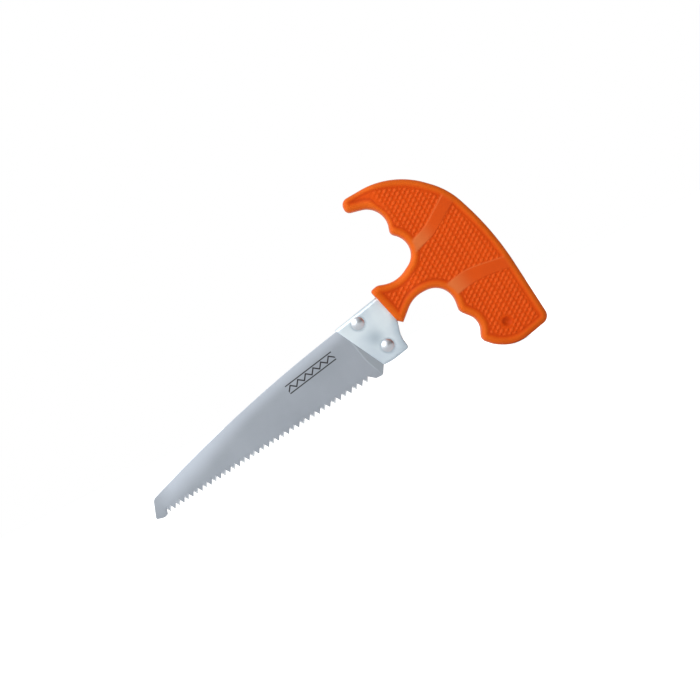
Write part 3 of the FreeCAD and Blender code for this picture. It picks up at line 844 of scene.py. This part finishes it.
def make_bracket(material):
    """Folded sheet: two leaves beside the blade, joined by a rounded fold over the spine."""
    outline = bracket_outline()
    on_fold = np.arange(len(outline)) == 0
    leaf, leaf_faces, rings = bracket_leaf(outline, on_fold)
    total = len(leaf)
    faces = list(leaf_faces)
    faces += [tuple(k + total for k in reversed(face)) for face in leaf_faces]
    # inside of the fold, and the two ends of the folded strip
    edge, inner = rings[-2:]
    faces.append((inner[1], inner[1] + total, inner[0] + total, inner[0]))
    faces.append((inner[1], edge[1], inner[1] + total))
    faces.append((inner[0] + total, edge[0], inner[0]))
    everything = np.vstack([leaf, leaf * (1, -1, 1)])
    bracket = make_piece("folded_bracket", everything, faces, [material], sharp_angle=32)
    # painted shade and painted reflection on the sheet
    add_attribute(bracket, "painted_shade", bracket_painted_shade(everything[:, [0, 2]], outline))
    weld = bracket.modifiers.new("weld", "WELD")
    weld.merge_threshold = 1e-6
    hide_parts("blade_bracket")


# ---------------------------------------------------------------- materials

def new_material(name):
    """Node material with a Principled shader: (material, nodes, links, shader)."""
    material = bpy.data.materials.new(name)
    material.use_nodes = True
    nodes = material.node_tree.nodes
    shader = next(n for n in nodes if n.type == "BSDF_PRINCIPLED")
    return material, nodes, material.node_tree.links, shader


def object_noise(nodes, links, scale, detail, stretch=(1, 1, 1)):
    """Noise that sits still on the object: a socket from 0 to 1."""
    place = nodes.new("ShaderNodeTexCoord")
    mapping = nodes.new("ShaderNodeMapping")
    mapping.inputs["Scale"].default_value = stretch
    noise = nodes.new("ShaderNodeTexNoise")
    noise.inputs["Scale"].default_value = scale
    noise.inputs["Detail"].default_value = detail
    links.new(place.outputs["Object"], mapping.inputs["Vector"])
    links.new(mapping.outputs["Vector"], noise.inputs["Vector"])
    return noise.outputs["Fac"]


def ramp_between(nodes, links, source, low, high, first, last):
    """Socket that runs from first to last while the source runs from low to high."""
    mapper = nodes.new("ShaderNodeMapRange")
    mapper.inputs["From Min"].default_value = low
    mapper.inputs["From Max"].default_value = high
    mapper.inputs["To Min"].default_value = first
    mapper.inputs["To Max"].default_value = last
    links.new(source, mapper.inputs["Value"])
    return mapper.outputs["Result"]


def mix_colours(nodes, links, factor, first, last):
    """Mix two colours, each a tuple or a socket, by a factor socket."""
    mix = nodes.new("ShaderNodeMix")
    mix.data_type = "RGBA"
    links.new(factor, mix.inputs["Factor"])
    for socket, colour in ((mix.inputs["A"], first), (mix.inputs["B"], last)):
        if isinstance(colour, tuple):
            socket.default_value = (*colour, 1)
        else:
            links.new(colour, socket)
    return mix.outputs["Result"]


def add_bump(nodes, links, shader, height, strength, distance):
    """Fine relief on a finish, from a height socket."""
    bump = nodes.new("ShaderNodeBump")
    bump.inputs["Strength"].default_value = strength
    bump.inputs["Distance"].default_value = distance
    links.new(height, bump.inputs["Height"])
    links.new(bump.outputs["Normal"], shader.inputs["Normal"])


def named_attribute(nodes, name):
    """Socket with a number kept on the mesh."""
    node = nodes.new("ShaderNodeAttribute")
    node.attribute_name = name
    return node.outputs["Fac"]


def calculate(nodes, links, operation, first, second=None):
    """Result of a math node whose inputs are sockets or numbers."""
    node = nodes.new("ShaderNodeMath")
    node.operation = operation
    for socket, value in zip(node.inputs, (first, second)):
        if isinstance(value, (int, float)):
            socket.default_value = value
        elif value is not None:
            links.new(value, socket)
    return node.outputs["Value"]


def rubber_material():
    """Soft orange rubber with a fine grain: lighter on the rim, the lozenges' tops and the ribs as
    painted highlight, darker in the crease and the dimple as painted shade.
    """
    material, nodes, links, shader = new_material("orange_rubber")
    blotch = object_noise(nodes, links, 90, 4)
    shade = ramp_between(nodes, links, blotch, 0.3, 0.7, 0.0, 1.0)
    panel = mix_colours(nodes, links, shade, (0.64, 0.058, 0.001), (0.70, 0.070, 0.002))
    # the lighter, yellower edge colour is a painted highlight on the rim's rounding
    edge = mix_colours(nodes, links, shade, (0.68, 0.106, 0.005), (0.74, 0.121, 0.008))
    colour = mix_colours(nodes, links, named_attribute(nodes, "rim"), panel, edge)
    for tone, paint in (
        # painted shade in the crease round the panels and on the dimple's floor
        ("crease_shade", (0.50, 0.040, 0.001)),
        # lozenge tops lighter as painted highlight, with painted shade left in the valleys
        ("raised", (0.76, 0.098, 0.010)),
        # painted highlight on the ribs
        ("rib_highlight", (0.70, 0.160, 0.040)),
    ):
        colour = mix_colours(nodes, links, named_attribute(nodes, tone), colour, paint)
    links.new(colour, shader.inputs["Base Color"])
    links.new(ramp_between(nodes, links, blotch, 0.3, 0.7, 0.42, 0.52), shader.inputs["Roughness"])
    shader.inputs["Specular IOR Level"].default_value = 0.3
    shader.inputs["Specular Tint"].default_value = (1.0, 0.5, 0.25, 1)
    add_bump(nodes, links, shader, object_noise(nodes, links, 2600, 2), 0.25, 0.0001)
    return material


def steel_material(name, dark, light, rough, grain, stretch=(1, 1, 1), relief=0.3, clouds=45):
    """Steel with a cloudy tone, and a fine finish that may be stretched along one direction."""
    material, nodes, links, shader = new_material(name)
    shader.inputs["Metallic"].default_value = 1.0
    shade = ramp_between(nodes, links, object_noise(nodes, links, clouds, 3), 0.35, 0.65, 0.0, 1.0)
    links.new(mix_colours(nodes, links, shade, dark, light), shader.inputs["Base Color"])
    fine = object_noise(nodes, links, grain, 3, stretch)
    links.new(ramp_between(nodes, links, fine, 0.3, 0.7, *rough), shader.inputs["Roughness"])
    add_bump(nodes, links, shader, fine, relief, 0.00005)
    return material


def tint_by(material, name, colour):
    """Mix another colour into a finish by a number kept on the mesh: (nodes, links, shader)."""
    nodes, links = material.node_tree.nodes, material.node_tree.links
    shader = next(n for n in nodes if n.type == "BSDF_PRINCIPLED")
    plain = shader.inputs["Base Color"].links[0].from_socket
    tinted = mix_colours(nodes, links, named_attribute(nodes, name), plain, colour)
    links.new(tinted, shader.inputs["Base Color"])
    return nodes, links, shader


def bracket_material():
    """Bright rolled sheet, darkened by painted shade between and round the rivets and along two edges."""
    material = steel_material(
        "bright_steel", (0.70, 0.80, 0.88), (0.84, 0.94, 0.99), rough=(0.32, 0.42),
        grain=900, stretch=(1, 1, 8), relief=0.1, clouds=62,
    )
    # painted shade and painted reflection mixed into the sheet's colour
    tint_by(material, "painted_shade", (0.40, 0.50, 0.58))
    return material


def etched_mark(nodes, links):
    """1 on the etched band of the blade's front, a zigzag between two lines that stands for no maker."""
    place = nodes.new("ShaderNodeTexCoord")
    local = nodes.new("ShaderNodeMapping")
    local.vector_type = "TEXTURE"
    local.inputs["Location"].default_value = (MARK_CENTRE[0] * MM, 0, MARK_CENTRE[1] * MM)
    local.inputs["Rotation"].default_value = (0, -MARK_TILT, 0)
    links.new(place.outputs["Object"], local.inputs["Vector"])
    split = nodes.new("ShaderNodeSeparateXYZ")
    links.new(local.outputs["Vector"], split.inputs["Vector"])
    along, side, up = (split.outputs[axis] for axis in "XYZ")
    line = MARK_LINE * MM
    edge = MARK_SOFTNESS * MM

    def near(distance, width):
        """1 where a distance is within a width, with a soft edge."""
        return ramp_between(nodes, links, distance, width - edge, width + edge, 1.0, 0.0)

    height = calculate(nodes, links, "ABSOLUTE", up)
    border = calculate(nodes, links, "SUBTRACT", height, MARK_HALF_HEIGHT * MM)
    border = near(calculate(nodes, links, "ABSOLUTE", border), line)
    zigzag = calculate(nodes, links, "PINGPONG", along, MARK_PITCH * MM)
    zigzag = calculate(nodes, links, "SUBTRACT", zigzag, MARK_PITCH * MM / 2)
    zigzag = calculate(nodes, links, "SUBTRACT", up, zigzag)
    zigzag = near(calculate(nodes, links, "ABSOLUTE", zigzag), line * 1.6)
    inked = calculate(nodes, links, "MAXIMUM", border, zigzag)
    inside = near(calculate(nodes, links, "ABSOLUTE", along), MARK_HALF_LENGTH * MM)
    inside = calculate(nodes, links, "MULTIPLY", inside, near(height, MARK_HALF_HEIGHT * MM + line))
    front = calculate(nodes, links, "LESS_THAN", side, 0.0)
    inside = calculate(nodes, links, "MULTIPLY", inside, front)
    return calculate(nodes, links, "MULTIPLY", inked, inside)


def blade_material():
    """Satin steel with a painted sheen toward the spine, a darker heel of mill finish and painted shade,
    and a dark etched band on the front.
    """
    material = steel_material(
        "satin_steel", (0.385, 0.422, 0.472), (0.420, 0.460, 0.512), rough=(0.36, 0.48), grain=1800)
    # unground heel darker: mill finish and painted shade beside the bracket
    tint_by(material, "rolled_finish_and_shade", (0.37, 0.41, 0.45))
    # painted sheen toward the spine
    nodes, links, shader = tint_by(material, "painted_sheen", (0.64, 0.70, 0.78))
    bright = shader.inputs["Base Color"].links[0].from_socket
    mark = etched_mark(nodes, links)
    links.new(mix_colours(nodes, links, mark, bright, (0.02, 0.02, 0.022)), shader.inputs["Base Color"])
    links.new(calculate(nodes, links, "SUBTRACT", 1.0, mark), shader.inputs["Metallic"])
    return material


def plastic_material():
    """Rigid core: dull moulded plastic."""
    material, nodes, links, shader = new_material("core_plastic_dull")
    cloud = object_noise(nodes, links, 120, 3)
    shade = ramp_between(nodes, links, cloud, 0.3, 0.7, 0.0, 1.0)
    colour = mix_colours(nodes, links, shade, (0.02, 0.02, 0.02), (0.03, 0.03, 0.032))
    links.new(colour, shader.inputs["Base Color"])
    links.new(ramp_between(nodes, links, cloud, 0.3, 0.7, 0.45, 0.6), shader.inputs["Roughness"])
    return material


# ---------------------------------------------------------------- stage

# The view looks straight at the front side: its middle (x, z), its width there, and its roll.
VIEW_CENTRE = (14.6, 35.0)
VIEW_WIDTH = 364.0
VIEW_ROLL = math.radians(26.43)
LENS = 150.0
SENSOR = 36.0
FLOOR_HALF_SIDE = 6.0
CENTRE = Vector((VIEW_CENTRE[0] * MM, 0, VIEW_CENTRE[1] * MM))
RIGHT = Vector((math.cos(VIEW_ROLL), 0, -math.sin(VIEW_ROLL)))
UP = Vector((math.sin(VIEW_ROLL), 0, math.cos(VIEW_ROLL)))
FORWARD = Vector((0, 1, 0))


def make_camera():
    """Long lens on the saw's front side, rolled so that the blade hangs down to the left."""
    data = bpy.data.cameras.new("camera")
    data.lens = LENS
    data.sensor_width = SENSOR
    camera = bpy.data.objects.new("camera", data)
    bpy.context.scene.collection.objects.link(camera)
    distance = VIEW_WIDTH * MM * LENS / SENSOR
    turn = Matrix((RIGHT, UP, -FORWARD)).transposed().to_4x4()
    camera.matrix_world = Matrix.Translation(CENTRE - FORWARD * distance) @ turn
    bpy.context.scene.camera = camera


def area_light(name, across, up, toward, size, power):
    """Soft light at a place given along the view's own directions, in metres, turned to the saw."""
    data = bpy.data.lights.new(name, "AREA")
    data.shape = "DISK"
    data.size = size
    data.energy = power
    light = bpy.data.objects.new(name, data)
    light.location = CENTRE + RIGHT * across + UP * up - FORWARD * toward
    light.rotation_mode = "QUATERNION"
    light.rotation_quaternion = (CENTRE - light.location).to_track_quat("-Z", "Y")
    light.visible_camera = False
    bpy.context.scene.collection.objects.link(light)
    return light


def make_world():
    """White surround: full white to the eye, and as a light brighter on the left than on the right."""
    world = bpy.data.worlds.new("studio")
    bpy.context.scene.world = world
    world.use_nodes = True
    nodes = world.node_tree.nodes
    links = world.node_tree.links
    background = nodes["Background"]
    background.inputs["Color"].default_value = (1, 1, 1, 1)
    place = nodes.new("ShaderNodeTexCoord")
    lean = nodes.new("ShaderNodeVectorMath")
    lean.operation = "DOT_PRODUCT"
    links.new(place.outputs["Generated"], lean.inputs[0])
    lean.inputs[1].default_value = -RIGHT
    soft = ramp_between(nodes, links, lean.outputs["Value"], -0.8, 0.8, 0.06, 1.08)
    path = nodes.new("ShaderNodeLightPath")
    seen = calculate(nodes, links, "MAXIMUM", path.outputs["Is Camera Ray"], soft)
    links.new(seen, background.inputs["Strength"])


def make_floor():
    """Plain pale floor under the saw: full white to the eye, softer as a light."""
    material, nodes, links, shader = new_material("pale_floor")
    tone = ramp_between(nodes, links, object_noise(nodes, links, 2, 1), 0, 1, 0.0, 1.0)
    colour = mix_colours(nodes, links, tone, (0.78, 0.78, 0.78), (0.8, 0.8, 0.8))
    links.new(colour, shader.inputs["Base Color"])
    shader.inputs["Roughness"].default_value = 1.0
    shader.inputs["Specular IOR Level"].default_value = 0.0
    shader.inputs["Emission Color"].default_value = (1, 1, 1, 1)
    path = nodes.new("ShaderNodeLightPath")
    glow = ramp_between(nodes, links, path.outputs["Is Camera Ray"], 0, 1, 0.0, 0.72)
    links.new(glow, shader.inputs["Emission Strength"])
    mesh = bpy.data.meshes.new("floor")
    side = FLOOR_HALF_SIDE
    corners = [(-side, -side), (side, -side), (side, side), (-side, side)]
    mesh.from_pydata([(x, y, CAD_BOX[0].z) for x, y in corners], [], [(0, 1, 2, 3)])
    mesh.materials.append(material)
    floor = bpy.data.objects.new("floor", mesh)
    bpy.context.scene.collection.objects.link(floor)


def dress(node, material):
    """Give a CAD node a finish of its own."""
    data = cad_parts[node].data
    data.materials.clear()
    data.materials.append(material)


# ---------------------------------------------------------------- the scene

bpy.context.scene.view_settings.view_transform = "Standard"
make_camera()
make_world()
make_floor()
area_light("key", across=-0.9, up=0.4, toward=0.8, size=1.4, power=9)
fill = area_light("fill", across=1.1, up=0.1, toward=0.4, size=0.9, power=3.5)
fill.visible_glossy = False

make_grip(rubber_material())
edge_finish = steel_material(
    "ground_edge", (0.76, 0.80, 0.84), (0.86, 0.90, 0.93), rough=(0.24, 0.34),
    grain=2500, stretch=(1, 1, 6),
)
rivet_finish = steel_material(
    "polished_steel", (0.60, 0.64, 0.69), (0.68, 0.72, 0.77), rough=(0.29, 0.35),
    grain=900, relief=0.05,
)
make_blade(blade_material(), edge_finish)
make_bracket(bracket_material())
for rivet in ("spine_rivet", "heel_rivet"):
    for half in ("tube", "post"):
        dress(f"{rivet}_{half}", rivet_finish)
dress("handle_core", plastic_material())
